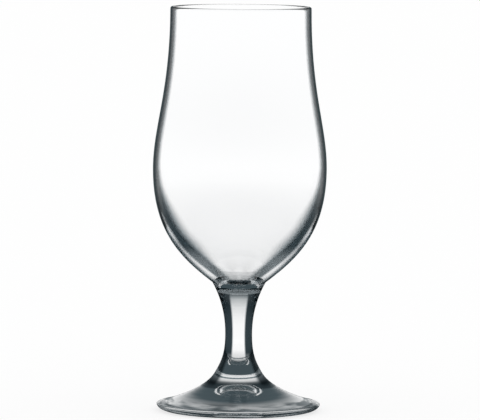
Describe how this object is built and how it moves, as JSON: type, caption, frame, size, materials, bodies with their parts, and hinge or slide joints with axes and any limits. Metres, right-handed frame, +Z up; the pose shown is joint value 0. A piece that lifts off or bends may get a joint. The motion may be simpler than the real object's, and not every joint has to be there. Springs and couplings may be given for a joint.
{
  "type": "stemmed beer glass",
  "caption": "Clear stemmed beer glass with a tulip-shaped bowl that swells below a straight mouth, a waisted solid stem and a flared foot.",
  "frame": {"origin": "on the table, under the middle of the foot", "axes": "+Z up along the glass's axis; the glass is round about Z, so X and Y are any two level directions"},
  "size_m": [0.0782, 0.0782, 0.182],
  "materials": {
    "clear_glass": "polished"
  },
  "bodies": {
    "root": {"bowl": "clear_glass", "stem": "clear_glass", "foot": "clear_glass"}
  },
  "joints": []
}
